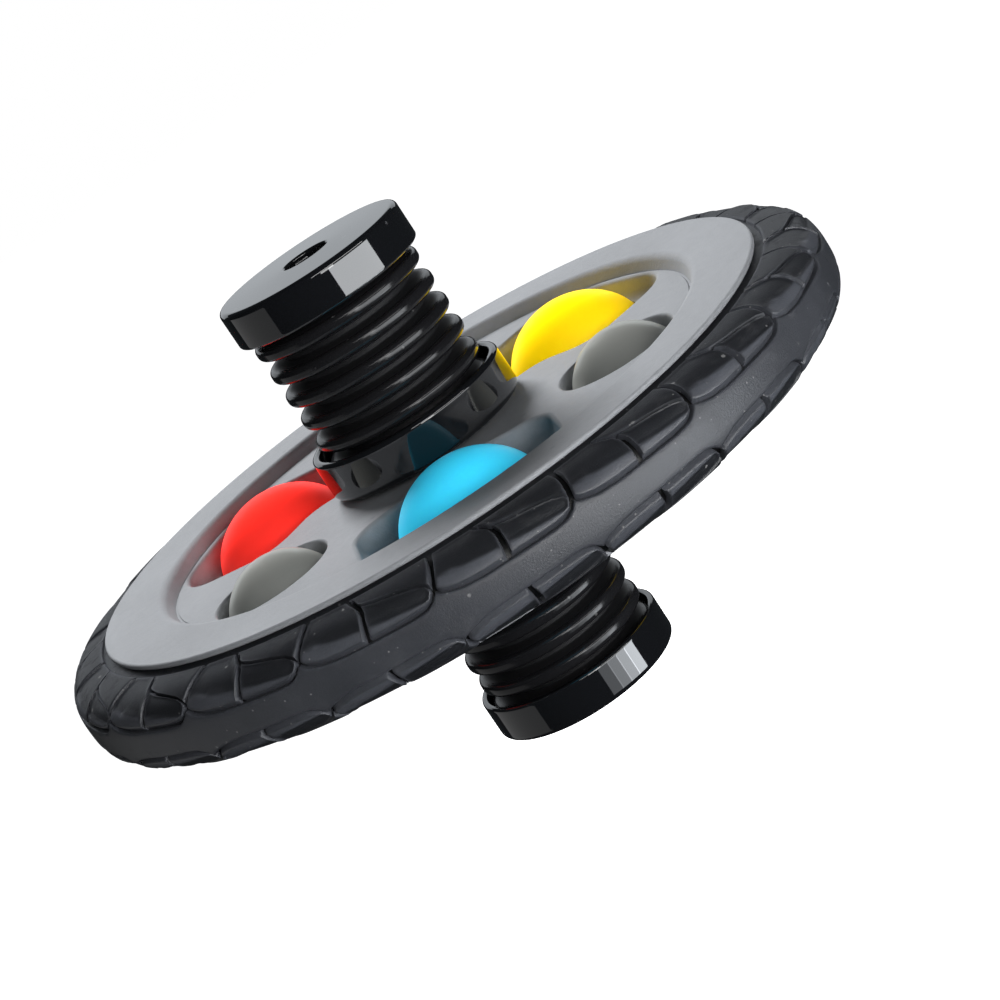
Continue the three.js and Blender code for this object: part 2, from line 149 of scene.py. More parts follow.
class SpinnerGripSizes(PropertyGroup):
    """Sizes of the two grips"""
    ribs: IntProperty(name="Ribs", default=7, min=3, max=15,
                      description="Ribs of one bellows")
    rib_thickness: length("Rib thickness", "Thickness of a rib at its tip", 1.05)
    rib_radius: length("Rib radius", "Radius at the tip of a rib", 8.45)
    groove_radius: length("Groove radius", "Radius at the bottom of a groove", 6.5)
    wall: length("Cup wall", "Wall of a collar or cap round the bellows", 0.8)
    edge_round: length("Edge", "Rounding of the collars' and caps' edges", 0.5)
    cap_crown: length("Cap crown", "Height of a cap's crown above its edge", 0.12)
    hole_radius: length("Screw hole", "Radius of the screw hole in a cap", 2.2)
    socket: length("Socket", "Width across the flats of the screw's hexagon socket", 1.5)
    coils: IntProperty(name="Spring turns", default=5, min=2, max=12,
                       description="Turns of the hidden spring")


class SpinnerColours(PropertyGroup):
    """Colours of the finishes"""
    rubber: colour("Tyre", "Charcoal tyre rubber", (0.0115, 0.0122, 0.0142))
    shell: colour("Wheel", "Matte grey moulding", (0.190, 0.197, 0.208))
    blue: colour("Blue ball", "Sky blue moulding", (0.04, 0.66, 0.96))
    yellow: colour("Yellow ball", "Warm yellow moulding", (1.0, 0.68, 0.0))
    red: colour("Red ball", "Bright red moulding", (0.95, 0.028, 0.018))
    steel: colour("Steel", "Satin steel", (0.46, 0.47, 0.44))
    bright: colour("Bright steel", "Polished steel", (0.62, 0.63, 0.64))
    cage: colour("Cage", "Brass of the bearing's cage", (0.60, 0.42, 0.16))
    gloss: colour("Gloss black", "Lacquered collars and caps", (0.0035, 0.0038, 0.0045))
    bellows: colour("Bellows", "Black bellows rubber", (0.0045, 0.0045, 0.005))


# ---- finishes ----------------------------------------------------------------------------------
class Value:
    """A shader value that is used like a number: an expression on it adds Math nodes."""

    def __init__(self, finish, socket):
        self.finish = finish
        self.socket = socket

    def math(self, operation, *numbers):
        return self.finish.node("Math", {"operation": operation}, dict(enumerate(numbers)))

    def __add__(self, other):
        return self.math("ADD", self, other)

    def __radd__(self, other):
        return self.math("ADD", other, self)

    def __sub__(self, other):
        return self.math("SUBTRACT", self, other)

    def __rsub__(self, other):
        return self.math("SUBTRACT", other, self)

    def __mul__(self, other):
        return self.math("MULTIPLY", self, other)

    def __rmul__(self, other):
        return self.math("MULTIPLY", other, self)


class Finish:
    """A material and the nodes that vary it over a piece."""

    def __init__(self, name):
        self.material = bpy.data.materials.new(name)
        self.material.use_nodes = True
        self.tree = self.material.node_tree
        self.shader = self.tree.nodes["Principled BSDF"]
        self.place = self.node("TexCoord", output="Object")

    def node(self, kind, settings=None, inputs=None, output=0):
        """Adds a node of a kind, makes its settings, then fills its sockets."""
        made = self.tree.nodes.new("ShaderNode" + kind)
        for key, setting in (settings or {}).items():
            setattr(made, key, setting)
        for key, value in (inputs or {}).items():
            self.fill(made.inputs[key], value)
        return Value(self, made.outputs[output])

    def fill(self, socket, value):
        if isinstance(value, Value):
            self.tree.links.new(value.socket, socket)
        elif socket.type == "RGBA" and len(value) == 3:
            socket.default_value = (*value, 1.0)
        else:
            socket.default_value = value

    def noise(self, size, detail=2.0, roughness=0.5):
        """Cloudy noise from 0 to 1 whose features are about one size across."""
        return self.node("TexNoise", None, {"Vector": self.place, "Scale": 1.0 / size,
                                            "Detail": detail, "Roughness": roughness})

    def step(self, value, low, high):
        """0 below low, 1 above high, and a smooth rise between them."""
        return self.node("MapRange", {"interpolation_type": "SMOOTHSTEP"},
                         {"Value": value, "From Min": low, "From Max": high})

    def specks(self, size, share, seed):
        """Scattered round specks, 1 at their centres, in a share of the cells."""
        shifted = self.node("VectorMath", {"operation": "ADD"},
                            {0: self.place, 1: (seed, seed, seed)})
        cells = self.node("TexVoronoi", None, {"Vector": shifted, "Scale": 1.0 / size})
        spread = cells.socket.node
        pick = self.node("SeparateColor", None, {0: Value(self, spread.outputs["Color"])})
        chosen = self.step(pick, 1.0 - share, 1.0 - share + 0.002)
        return chosen * (1.0 - self.step(cells, 0.06, 0.16))

    def blend(self, factor, one, other):
        """Colour one where the factor is 0 and the other where it is 1."""
        mix = self.node("Mix", {"data_type": "RGBA"}, {"Factor": factor}, output="Result")
        mixer = mix.socket.node
        self.fill(mixer.inputs[6], one)
        self.fill(mixer.inputs[7], other)
        return Value(self, mixer.outputs[2])

    def bump(self, height, depth, strength=1.0):
        return self.node("Bump", None, {"Height": height, "Distance": depth, "Strength": strength})

    def set(self, **sockets):
        for key, value in sockets.items():
            self.fill(self.shader.inputs[key.replace("_", " ")], value)
        return self.material


def shade(rgb, factor):
    return tuple(min(1.0, channel * factor) for channel in rgb)


def tyre_rubber(rgb):
    finish = Finish("tyre_rubber")
    cloud = finish.noise(6 * MM, 4.0, 0.6)
    grain = finish.noise(0.16 * MM, 3.0, 0.65)
    wear_and_painted_light = finish.node("Attribute", {"attribute_name": "wear_and_painted_light"}, output="Fac")
    dust = finish.specks(0.7 * MM, 0.22, 0.31) + finish.specks(1.5 * MM, 0.14, 0.77)
    smear = finish.step(finish.noise(2.2 * MM, 5.0, 0.7), 0.52, 0.74)
    base = finish.blend(cloud, shade(rgb, 0.70), shade(rgb, 1.35))
    # Block edges, outer facets and the band are drawn lighter from the attribute: edge wear
    # together with a painted highlight.
    worn_and_highlit = finish.blend(wear_and_painted_light * (0.15 + 0.6 * grain + 0.5 * cloud), base, shade(rgb, 6.5))
    dust_wear_and_painted_light = finish.blend(dust * 0.55 + smear * 0.05, worn_and_highlit, (0.20, 0.20, 0.20))
    # Where the attribute is below 0 the rubber turns near black: painted shade on the floor of the
    # grooves.
    dust_wear_and_painted_light = finish.blend(-2.0 * wear_and_painted_light, dust_wear_and_painted_light, (0.002, 0.002, 0.002))
    rough = 0.30 + 0.14 * cloud + 0.08 * grain + 0.20 * smear
    return finish.set(Base_Color=dust_wear_and_painted_light, Roughness=rough, Specular_IOR_Level=0.55,
                      Normal=finish.bump(grain + 0.5 * dust, 0.05 * MM, 0.55))


def grey_moulding(rgb):
    finish = Finish("grey_moulding")
    cloud = finish.noise(9 * MM, 3.0, 0.55)
    grain = finish.noise(0.22 * MM, 3.0, 0.6)
    mottle = finish.noise(0.9 * MM, 2.0, 0.5)
    marks = finish.specks(2.6 * MM, 0.05, 0.53)
    base = finish.blend(0.45 * cloud + 0.3 * mottle + 0.25 * grain, shade(rgb, 0.72),
                        shade(rgb, 1.28))
    spotted = finish.blend(marks * 0.35, base, shade(rgb, 0.45))
    rough = 0.44 + 0.10 * grain + 0.06 * cloud
    return finish.set(Base_Color=spotted, Roughness=rough,
                      Normal=finish.bump(grain + 0.4 * mottle, 0.05 * MM, 0.7))


def ball_moulding(name, rgb, deep):
    finish = Finish(name)
    cloud = finish.noise(5 * MM, 2.0, 0.5)
    grain = finish.noise(0.3 * MM, 2.0, 0.5)
    base = finish.blend(cloud, shade(rgb, 0.96), rgb)
    tinted = finish.blend(0.10 * grain, base, deep)
    rough = 0.36 + 0.07 * cloud + 0.05 * grain
    # A little emission of the ball's own colour makes it glow: painted light that brightens the
    # whole ball.
    return finish.set(Base_Color=tinted, Roughness=rough, Subsurface_Weight=0.12,
                      Subsurface_Scale=0.8 * MM, Emission_Color=tinted, Emission_Strength=0.25,
                      Normal=finish.bump(grain, 0.012 * MM, 0.35))


def metal(name, rgb, low, high, streak, metallic=1.0):
    """Metal whose roughness runs from low to high in fine streaks round the spin axis."""
    finish = Finish(name)
    drawn = finish.node("Mapping", None, {"Vector": finish.place, "Scale": (1.0, 1.0, streak)})
    lines = finish.node("TexNoise", None, {"Vector": drawn, "Scale": 900.0, "Detail": 3.0})
    cloud = finish.noise(3 * MM, 3.0, 0.6)
    base = finish.blend(0.7 * cloud + 0.3 * lines, shade(rgb, 0.92), shade(rgb, 1.08))
    rough = low + (high - low) * (0.55 * lines + 0.45 * cloud)
    return finish.set(Base_Color=base, Roughness=rough, Metallic=metallic,
                      Normal=finish.bump(lines, 0.002 * MM, 0.10))


def gloss_lacquer(rgb):
    finish = Finish("gloss_lacquer")
    ripple = finish.noise(5.5 * MM, 1.0, 0.4)
    film = finish.step(finish.noise(2.8 * MM, 5.0, 0.65), 0.50, 0.85)
    dust = finish.specks(1.9 * MM, 0.10, 0.19)
    base = finish.blend(dust * 0.5, rgb, (0.14, 0.14, 0.15))
    rough = 0.035 + 0.05 * film + 0.25 * dust
    return finish.set(Base_Color=base, Roughness=rough, Coat_Weight=0.35,
                      Coat_Roughness=0.02, Specular_IOR_Level=0.6,
                      Normal=finish.bump(ripple, 0.02 * MM, 0.25))


def bellows_rubber(rgb):
    finish = Finish("bellows_rubber")
    cloud = finish.noise(3.5 * MM, 3.0, 0.55)
    grain = finish.noise(0.25 * MM, 2.0, 0.5)
    dust = finish.specks(1.2 * MM, 0.08, 0.41)
    radius = finish.node("VectorMath", {"operation": "LENGTH"},
                         {0: finish.node("VectorMath", {"operation": "MULTIPLY"},
                                         {0: finish.place, 1: (1.0, 1.0, 0.0)})}, output=1)
    sunk = 1.0 - finish.step(radius, 7.1 * MM, 8.2 * MM)
    base = finish.blend(dust * 0.5, finish.blend(cloud, rgb, shade(rgb, 1.8)), (0.12, 0.12, 0.12))
    rough = 0.10 + 0.06 * cloud + 0.04 * grain + 0.5 * sunk
    return finish.set(Base_Color=base, Roughness=rough, Specular_IOR_Level=0.3,
                      Normal=finish.bump(grain, 0.008 * MM, 0.3))


FINISHES = {}


def finish_for(slot, colours):
    """The material of a slot, made once."""
    deep_blue, deep_yellow, deep_red = (0.0, 0.22, 0.75), (1.0, 0.40, 0.0), (0.6, 0.0, 0.01)
    makers = {
        "tyre": lambda: tyre_rubber(colours.rubber),
        "grey_plastic": lambda: grey_moulding(colours.shell),
        "blue_plastic": lambda: ball_moulding("blue_moulding", colours.blue, deep_blue),
        "yellow_plastic": lambda: ball_moulding("yellow_moulding", colours.yellow, deep_yellow),
        "red_plastic": lambda: ball_moulding("red_moulding", colours.red, deep_red),
        "satin_steel": lambda: metal("satin_steel", colours.steel, 0.30, 0.36, 6.0, 0.66),
        "polished_steel": lambda: metal("polished_steel", colours.bright, 0.08, 0.20, 4.0),
        "brass": lambda: metal("cage_brass", colours.cage, 0.22, 0.36, 5.0),
        "black_gloss": lambda: gloss_lacquer(colours.gloss),
        "bellows_rubber": lambda: bellows_rubber(colours.bellows),
    }
    if slot not in FINISHES:
        FINISHES[slot] = makers[slot]()
    return FINISHES[slot]


# ---- modelling helpers -------------------------------------------------------------------------
def rounded(corners, steps=6, closed=True):
    """An outline of (x, y, rounding) corners, as points, with an arc at each rounded corner."""
    points = []
    count = len(corners)
    for i, (x, y, rounding) in enumerate(corners):
        here = Vector((x, y))
        if rounding == 0.0 or (not closed and i in (0, count - 1)):
            points.append(here)
            continue
        back = Vector(corners[i - 1][:2]) - here
        ahead = Vector(corners[(i + 1) % count][:2]) - here
        half = back.angle(ahead) / 2
        cut = min(rounding / math.tan(half), 0.49 * back.length, 0.49 * ahead.length)
        radius = cut * math.tan(half)
        bisector = (back.normalized() + ahead.normalized()).normalized()
        centre = here + bisector * (radius / math.sin(half))
        start = here + back.normalized() * cut - centre
        end = here + ahead.normalized() * cut - centre
        sweep = math.atan2(start.x * end.y - start.y * end.x, start.dot(end))
        for k in range(steps + 1):
            turn = Matrix.Rotation(sweep * k / steps, 2)
            points.append(centre + turn @ start)
    return points


def supported(points, reach):
    """Adds a point just inside each end of every long straight, which keeps flat faces flat-lit."""
    held = []
    count = len(points)
    for i, here in enumerate(points):
        ahead = points[(i + 1) % count]
        held.append(here)
        if (ahead - here).length > 4 * reach:
            step = (ahead - here).normalized() * reach
            held += [here + step, ahead - step]
    return held


def lathe(points, sides, closed=True):
    """Spins an outline of (radius, height) points about the Z axis."""
    bm = bmesh.new()
    ring = [bm.verts.new((point[0], 0.0, point[1])) for point in points]
    ends = ring[1:] + ring[:1] if closed else ring[1:]
    edges = [bm.edges.new(pair) for pair in zip(ring, ends)]
    bmesh.ops.spin(bm, geom=ring + edges, cent=(0, 0, 0), axis=(0, 0, 1), angle=2 * math.pi,
                   steps=sides, use_merge=True)
    bmesh.ops.remove_doubles(bm, verts=bm.verts, dist=MERGE_GAP)
    bmesh.ops.recalc_face_normals(bm, faces=bm.faces)
    return bm


def to_object(bm, name):
    mesh = bpy.data.meshes.new(name)
    bm.to_mesh(mesh)
    bm.free()
    piece = bpy.data.objects.new(name, mesh)
    bpy.context.scene.collection.objects.link(piece)
    return piece


def cut_away(piece, cutters):
    """Subtracts the cutters from a piece and keeps the result as its mesh."""
    for cutter in cutters:
        cut = piece.modifiers.new("cut", "BOOLEAN")
        cut.operation = "DIFFERENCE"
        cut.solver = "EXACT"
        cut.object = cutter
    bpy.context.view_layer.update()
    result = piece.evaluated_get(bpy.context.evaluated_depsgraph_get())
    shaped = bpy.data.meshes.new_from_object(result)
    piece.modifiers.clear()
    piece.data = shaped
    for cutter in cutters:
        bpy.data.objects.remove(cutter)


def smooth(piece, sharp_angle=34.0, weighted=False):
    piece.data.shade_smooth()
    piece.data.set_sharp_from_angle(angle=math.radians(sharp_angle))
    if weighted:
        even = piece.modifiers.new("flat faces", "WEIGHTED_NORMAL")
        even.keep_sharp = True
        even.weight = 60


def hand_over(piece, slot, body, nodes, colours):
    """Gives a finished piece its finish, its body and the CAD nodes it stands for."""
    piece.data.materials.clear()
    piece.data.materials.append(finish_for(slot, colours))
    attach(piece, body)
    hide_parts(*nodes)


def dress(node, slot, colours):
    """Gives a CAD node that stays its finish."""
    finish = finish_for(slot, colours)
    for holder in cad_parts[node].material_slots:
        holder.material = finish
    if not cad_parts[node].material_slots:
        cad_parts[node].data.materials.append(finish)


# ---- wheel shells ------------------------------------------------------------------------------
def shell_outline(sizes):
    """Section of the upper shell, from its bearing seat out to the rim and back over the floor."""
    floor = RIM_TOP - sizes.floor_depth
    bearing = outer_radius("bearing_outer_ring") + SLIP
    bearing_lip = bearing - 1.1 * MM
    lip = highest("bearing_outer_ring") + SLIP
    hollow = sizes.floor_radius + 1.0 * MM
    seat = RIM_RADIUS - RIM_SEAT_DEPTH
    flange = TYRE_HALF_WIDTH + TYRE_GAP
    crease = 0.12 * MM
    return rounded([
        (bearing, SHELL_SPLIT, 0.0),
        (hollow, SHELL_SPLIT, 0.0),
        (hollow, RIM_TOP - RIM_WALL, 0.3 * MM),
        (seat - RIM_WALL, RIM_TOP - RIM_WALL, 0.3 * MM),
        (seat - RIM_WALL, SHELL_SPLIT, 0.0),
        (seat, SHELL_SPLIT, 0.0),
        (seat, flange, 0.0),
        (RIM_RADIUS, flange, 0.12 * MM),
        (RIM_RADIUS, RIM_TOP, sizes.rim_edge_round),
        (sizes.floor_radius + 0.75 * MM, RIM_TOP, sizes.floor_edge_round),
        (sizes.floor_radius + 0.05 * MM, floor - crease, 0.0),
        (sizes.floor_radius - crease, floor - crease, 0.0),
        (sizes.floor_radius - 1.6 * crease, floor, 0.06 * MM),
        (bearing_lip, floor, 0.2 * MM),
        (bearing_lip, lip, 0.1 * MM),
        (bearing, lip, 0.0),
    ])


# Corners of a window's narrow inner end, as radius from the hub, half width and rounding.
WINDOW_NECK = ((9.6 * MM, 2.4 * MM, 0.8 * MM), (12.3 * MM, 3.7 * MM, 3.2 * MM))
WINDOW_SHOULDER = (13.9 * MM, 3.4 * MM)     # radius from the hub and rounding


def window_outline(sizes, orbit):
    """Bell outline of a coloured ball's window, measured from the ball's centre outwards."""
    width = sizes.window_half_width
    shoulder, shoulder_round = WINDOW_SHOULDER
    half = [(radius - orbit, half_width, rounding) for radius, half_width, rounding in WINDOW_NECK]
    half += [
        (shoulder - orbit, width, shoulder_round),
        (sizes.window_reach - orbit, width, sizes.window_corner),
    ]
    mirrored = [(x, -y, rounding) for x, y, rounding in reversed(half)]
    return rounded(half + mirrored, steps=9)


# Each level of a bowl is its size and its depth as shares: a rolled lip, then a wall that curves
# inwards to the pocket.
BOWL_LEVELS = (
    (1.055, -0.45), (1.055, -0.005), (1.038, 0.015), (1.022, 0.05), (1.010, 0.105),
    (1.003, 0.18), (0.998, 0.30), (0.988, 0.46), (0.968, 0.62), (0.938, 0.76), (0.898, 0.87),
    (0.850, 0.95), (0.790, 1.0), (0.5, 1.02),
)


def bowl_cutter(outline, floor, depth, place):
    """A bowl-shaped cutter: the outline's face, drawn down and in level by level."""
    bm = bmesh.new()
    face = bm.faces.new([bm.verts.new((point[0], point[1], 0.0)) for point in outline])
    size, share = BOWL_LEVELS[0]
    bmesh.ops.scale(bm, vec=(size, size, 1.0), verts=face.verts)
    bmesh.ops.translate(bm, vec=(0, 0, floor - share * depth), verts=face.verts)
    top = face
    for next_size, next_share in BOWL_LEVELS[1:]:
        grown = bmesh.ops.extrude_face_region(bm, geom=[face])["geom"]
        if face is not top:
            bmesh.ops.delete(bm, geom=[face], context="FACES_ONLY")
        face = next(part for part in grown if isinstance(part, bmesh.types.BMFace))
        ratio = next_size / size
        bmesh.ops.scale(bm, vec=(ratio, ratio, 1.0), verts=face.verts)
        bmesh.ops.translate(bm, vec=(0, 0, (share - next_share) * depth), verts=face.verts)
        size, share = next_size, next_share
    bmesh.ops.recalc_face_normals(bm, faces=bm.faces)
    bmesh.ops.transform(bm, matrix=place, verts=bm.verts)
    return to_object(bm, "window_cutter")


def pocket_cutter(centre, radius):
    bm = bmesh.new()
    bmesh.ops.create_uvsphere(bm, u_segments=72, v_segments=36, radius=radius)
    bmesh.ops.translate(bm, vec=centre, verts=bm.verts)
    return to_object(bm, "pocket_cutter")


def turned_out(centre):
    """Places a cutter at a ball, with its X axis pointing away from the hub."""
    azimuth = math.atan2(centre.y, centre.x)
    return Matrix.Translation((centre.x, centre.y, 0)) @ Matrix.Rotation(azimuth, 4, "Z")


def wheel_shell(sizes):
    floor = RIM_TOP - sizes.floor_depth
    shell = to_object(lathe(shell_outline(sizes), sides=144), "wheel_shell")
    cutters = []
    for name in COLOUR_BALLS:
        centre, radius = ball_place(name)
        outline = window_outline(sizes, centre.xy.length)
        cutters.append(bowl_cutter(outline, floor, sizes.window_depth, turned_out(centre)))
        cutters.append(pocket_cutter(centre, radius + sizes.ball_gap))
    steps = 56
    for name in STEEL_BALLS:
        centre, radius = ball_place(name)
        circle = [Matrix.Rotation(2 * math.pi * i / steps, 2) @ Vector((sizes.steel_window, 0))
                  for i in range(steps)]
        cutters.append(bowl_cutter(circle, floor, sizes.window_depth, turned_out(centre)))
        cutters.append(pocket_cutter(centre, radius + sizes.ball_gap))
    cut_away(shell, cutters)
    bm = bmesh.new()
    bm.from_mesh(shell.data)
    bmesh.ops.remove_doubles(bm, verts=bm.verts, dist=0.004 * MM)
    bmesh.ops.dissolve_degenerate(bm, dist=0.002 * MM, edges=bm.edges)
    bmesh.ops.recalc_face_normals(bm, faces=bm.faces)
    bm.to_mesh(shell.data)
    bm.free()
    return shell


class SPINNER_OT_wheel_shells(Operator):
    """Make the two grey shells of the wheel"""
    bl_idname = "spinner.wheel_shells"
    bl_label = "Wheel Shells"

    def execute(self, context):
        pattern = wheel_shell(context.scene.spinner_wheel)
        for side, turn in SIDES:
            shell = bpy.data.objects.new(f"{side}_wheel_moulding", pattern.data.copy())
            context.scene.collection.objects.link(shell)
            shell.data.transform(turn)
            smooth(shell, 32.0, weighted=True)
            hand_over(shell, "grey_plastic", "wheel", [f"{side}_wheel_shell"],
                      context.scene.spinner_colours)
        bpy.data.objects.remove(pattern)
        return {"FINISHED"}


# ---- tyre --------------------------------------------------------------------------------------
def tyre_point(sizes, azimuth, theta, lift):
    """A point of the tyre's outer surface; theta runs from the upper shoulder to the lower one."""
    power = 2.0 / sizes.fullness
    shoulder = RIM_RADIUS + TYRE_GAP
    across, up = math.sin(theta), math.cos(theta)
    radius = shoulder + (TYRE_RADIUS - shoulder) * abs(across) ** power
    height = math.copysign(TYRE_HALF_WIDTH * abs(up) ** power, up)
    # the outward direction of an ellipse of the same size is near enough for a thin lift
    out = Vector((across / (TYRE_RADIUS - shoulder), up / TYRE_HALF_WIDTH)).normalized()
    radius += lift * out.x
    height += lift * out.y
    return Vector((radius * math.cos(azimuth), radius * math.sin(azimuth), height))


# Tread lines of one pair of blocks, as (degrees round the tyre, degrees over its section). A pair
# spans PAIR_SPAN degrees as drawn, and is scaled to the number of pairs.
PAIR_SPAN = 18.95
LAST_IN_SPAN = 18.94
LEAD_LINE = ((0.75, 0.0), (0.85, 18.0), (0.6, 35.5), (0.2, 50.5), (0.0, 61.0))
OUTER_LINE = ((0.0, 61.0), (0.7, 66.0), (2.7, 72.0), (5.6, 74.6), (9.0, 74.8), (12.0, 75.3),
              (15.0, 75.8), (16.9, 74.8), (18.1, 70.3), (PAIR_SPAN, 61.0))
CROSS_LINE = ((9.35, 21.0), (9.7, 35.5), (9.6, 55.0), (9.3, 75.0))
WEDGE_LINE = ((7.0, 0.0), (8.2, 11.5), (9.35, 21.0), (11.6, 27.5), (14.5, 33.2), (17.0, 40.0),
              (18.6, 47.4))
CREASE_LINE = ((0.0, 43.6), (2.2, 46.5), (5.9, 52.3), (9.9, 59.0), (14.4, 64.2), (PAIR_SPAN, 68.0))
END_LINE = ((18.6, 47.4), (PAIR_SPAN, 54.2), (PAIR_SPAN, 61.0))
FIRST_CORNER = -98.4            # degrees round the tyre where the first pair starts
SECTION_DEGREE = 0.092 * MM     # length of one degree over the section
INSET_REACH = 1.2 * MM          # how far in from a groove a block's points are drawn aside
BEAD_REACH = 0.9 * MM           # breadth of the plain bead next to the rim
# Above 0 the value lightens the rubber: edge wear with a painted highlight on block edges and
# facets, and a lighter band. Below 0 it paints shade on the floor of a groove.
BAND_LIGHTENING, BEAD_WEAR, GROOVE_PAINTED_SHADE = 0.34, 0.1, -0.5


def along(line, share):
    """The point at a share of the way along a line, by its length."""
    spans = [(Vector(b) - Vector(a)).length for a, b in zip(line, line[1:])]
    left = share * sum(spans)
    for a, b, span in zip(line, line[1:], spans):
        if left <= span:
            return Vector(a).lerp(Vector(b), left / span)
        left -= span
    return Vector(line[-1])


def part_of(line, start, end):
    """The stretch of a line whose first coordinate lies between start and end."""
    def at(x):
        for a, b in zip(line, line[1:]):
            if a[0] <= x <= b[0]:
                return (x, a[1] + (b[1] - a[1]) * (x - a[0]) / (b[0] - a[0]))
        return line[-1] if x > line[-1][0] else line[0]
    return (at(start),) + tuple(p for p in line if start < p[0] < end) + (at(end),)


def height_at(line, x):
    return part_of(line, x, x + 1e-6)[0][1]


def patch_point(top, bottom, left, right, s, t):
    """The point (s, t) of the patch that four lines enclose."""
    ruled = along(top, s).lerp(along(bottom, s), t) + along(left, t).lerp(along(right, t), s)
    corners = Vector(top[0]).lerp(Vector(top[-1]), s).lerp(
        Vector(bottom[0]).lerp(Vector(bottom[-1]), s), t)
    return ruled - corners


def block_steps(count):
    """Shares across a block, close together at both edges."""
    edge = (0.0, 0.012, 0.035, 0.07, 0.12)
    middle = [0.12 + 0.76 * i / count for i in range(1, count)]
    return list(edge) + middle + [1.0 - share for share in reversed(edge)]


def tread_block(bm, wear_and_painted_light, sizes, borders, columns, rows, mirror, creased):
    """Adds one closed tread block: a grid laid over the patch, raised, then walled and floored."""
    top, bottom, left, right = borders
    across, down = block_steps(columns), block_steps(rows)
    grid = bmesh.ops.create_grid(bm, x_segments=len(across) - 1, y_segments=len(down) - 1,
                                 size=0.5)["verts"]
    middle = patch_point(top, bottom, left, right, 0.5, 0.5)
    sector = 2 * math.pi / sizes.repeats
    scale = sector / math.radians(PAIR_SPAN)
    degree = TYRE_RADIUS * math.radians(1.0)
    half = sizes.groove / 2
    for vert in grid:
        i = round((vert.co.x + 0.5) * (len(across) - 1))
        j = round((vert.co.y + 0.5) * (len(down) - 1))
        s, t = across[i], down[j]
        place = patch_point(top, bottom, left, right, s, t)
        spans = (place - along(left, t), along(right, t) - place,
                 place - along(top, s), along(bottom, s) - place)
        gaps = [math.hypot(span.x * degree, span.y * SECTION_DEGREE) for span in spans]
        # draw the block in from the groove's middle line on every side
        sideways = 1 - min(1.0, min(gaps[:2]) / INSET_REACH)
        upright = 1 - min(1.0, min(gaps[2:]) / INSET_REACH)
        place.x += math.copysign(half / degree, 1 - 2 * s) * sideways
        place.y += math.copysign(half / SECTION_DEGREE, 1 - 2 * t) * upright
        edge = min(gaps)
        facet = 0.0
        rise = 1.0 - min(1.0, edge / (sizes.edge_round * 1.4))
        lift = -sizes.edge_round * (1.0 - math.sqrt(max(0.0, 1.0 - rise * rise)))
        if creased:
            crease = height_at(CREASE_LINE, min(max(place.x, 0.0), LAST_IN_SPAN))
            inner = min(1.0, max(0.0, (crease - place.y) / 2.2))
            fade = min(1.0, edge / (0.45 * MM))
            lift -= sizes.crease_step * inner * fade
            facet = 0.75 * min(1.0, max(0.0, (place.y - crease) / 1.6)) * fade
        theta = math.radians(place.y)
        if mirror:
            theta = math.pi - theta
        azimuth = math.radians(FIRST_CORNER) + math.radians(place.x) * scale
        vert.co = tyre_point(sizes, azimuth, theta, lift)
        # Rounded edges and the outer facet are painted lighter: partly edge wear, partly a painted
        # highlight.
        vert[wear_and_painted_light] = max(0.6 * rise, facet)
    faces = list({face for vert in grid for face in vert.link_faces})
    border = [edge for edge in {e for f in faces for e in f.edges} if edge.is_boundary]
    walls = bmesh.ops.extrude_edge_only(bm, edges=border)["geom"]
    sunk = [part for part in walls if isinstance(part, bmesh.types.BMVert)]
    azimuth = math.radians(FIRST_CORNER) + math.radians(middle.x) * scale
    theta = math.radians(middle.y)
    theta = math.pi - theta if mirror else theta
    down_way = tyre_point(sizes, azimuth, theta, -1.0) - tyre_point(sizes, azimuth, theta, 0.0)
    bmesh.ops.translate(bm, vec=down_way * (sizes.tread_depth + 0.25 * MM), verts=sunk)
    rim = [part for part in walls if isinstance(part, bmesh.types.BMEdge) and part.is_boundary]
    bmesh.ops.edgeloop_fill(bm, edges=rim)


def tread_band(bm, wear_and_painted_light, sizes):
    """Adds one pair's stretch of the smooth band round the middle of the tread."""
    rows = block_steps(6)
    grid = bmesh.ops.create_grid(bm, x_segments=30, y_segments=len(rows) - 1, size=0.5)["verts"]
    scale = 2 * math.pi / sizes.repeats / math.radians(PAIR_SPAN)
    half = sizes.groove / 2 / SECTION_DEGREE
    last = 18.9499
    for vert in grid:
        x = PAIR_SPAN * (vert.co.x + 0.5)
        t = rows[round((vert.co.y + 0.5) * (len(rows) - 1))]
        edge_theta = height_at(OUTER_LINE, min(x, last)) + half
        place = edge_theta + (180.0 - 2 * edge_theta) * t
        gap = min(place - edge_theta, 180.0 - edge_theta - place) * SECTION_DEGREE
        rise = 1.0 - min(1.0, gap / (sizes.edge_round * 1.6))
        lift = -sizes.edge_round * (1.0 - math.sqrt(max(0.0, 1.0 - rise * rise)))
        azimuth = math.radians(FIRST_CORNER) + math.radians(x) * scale
        vert.co = tyre_point(sizes, azimuth, math.radians(place), lift)
        # The band is drawn lighter, and its rounded edges lighter still as a painted highlight.
        vert[wear_and_painted_light] = BAND_LIGHTENING + 0.3 * rise


def close_band(bm, sizes):
    """Walls the band on both sides and closes it underneath, as a ring."""
    border = [edge for edge in bm.edges if edge.is_boundary]
    walls = bmesh.ops.extrude_edge_only(bm, edges=border)["geom"]
    sunk = [part for part in walls if isinstance(part, bmesh.types.BMVert)]
    for vert in sunk:
        out = Vector((vert.co.x, vert.co.y, 0)).normalized()
        vert.co -= out * (sizes.tread_depth + 0.35 * MM)
    rims = [part for part in walls if isinstance(part, bmesh.types.BMEdge) and part.is_boundary]
    bmesh.ops.bridge_loops(bm, edges=rims)


def repeat_round(bm, repeats):
    bmesh.ops.spin(bm, geom=bm.verts[:] + bm.edges[:] + bm.faces[:], cent=(0, 0, 0),
                   axis=(0, 0, 1), angle=2 * math.pi * (repeats - 1) / repeats,
                   steps=repeats - 1, use_duplicate=True)


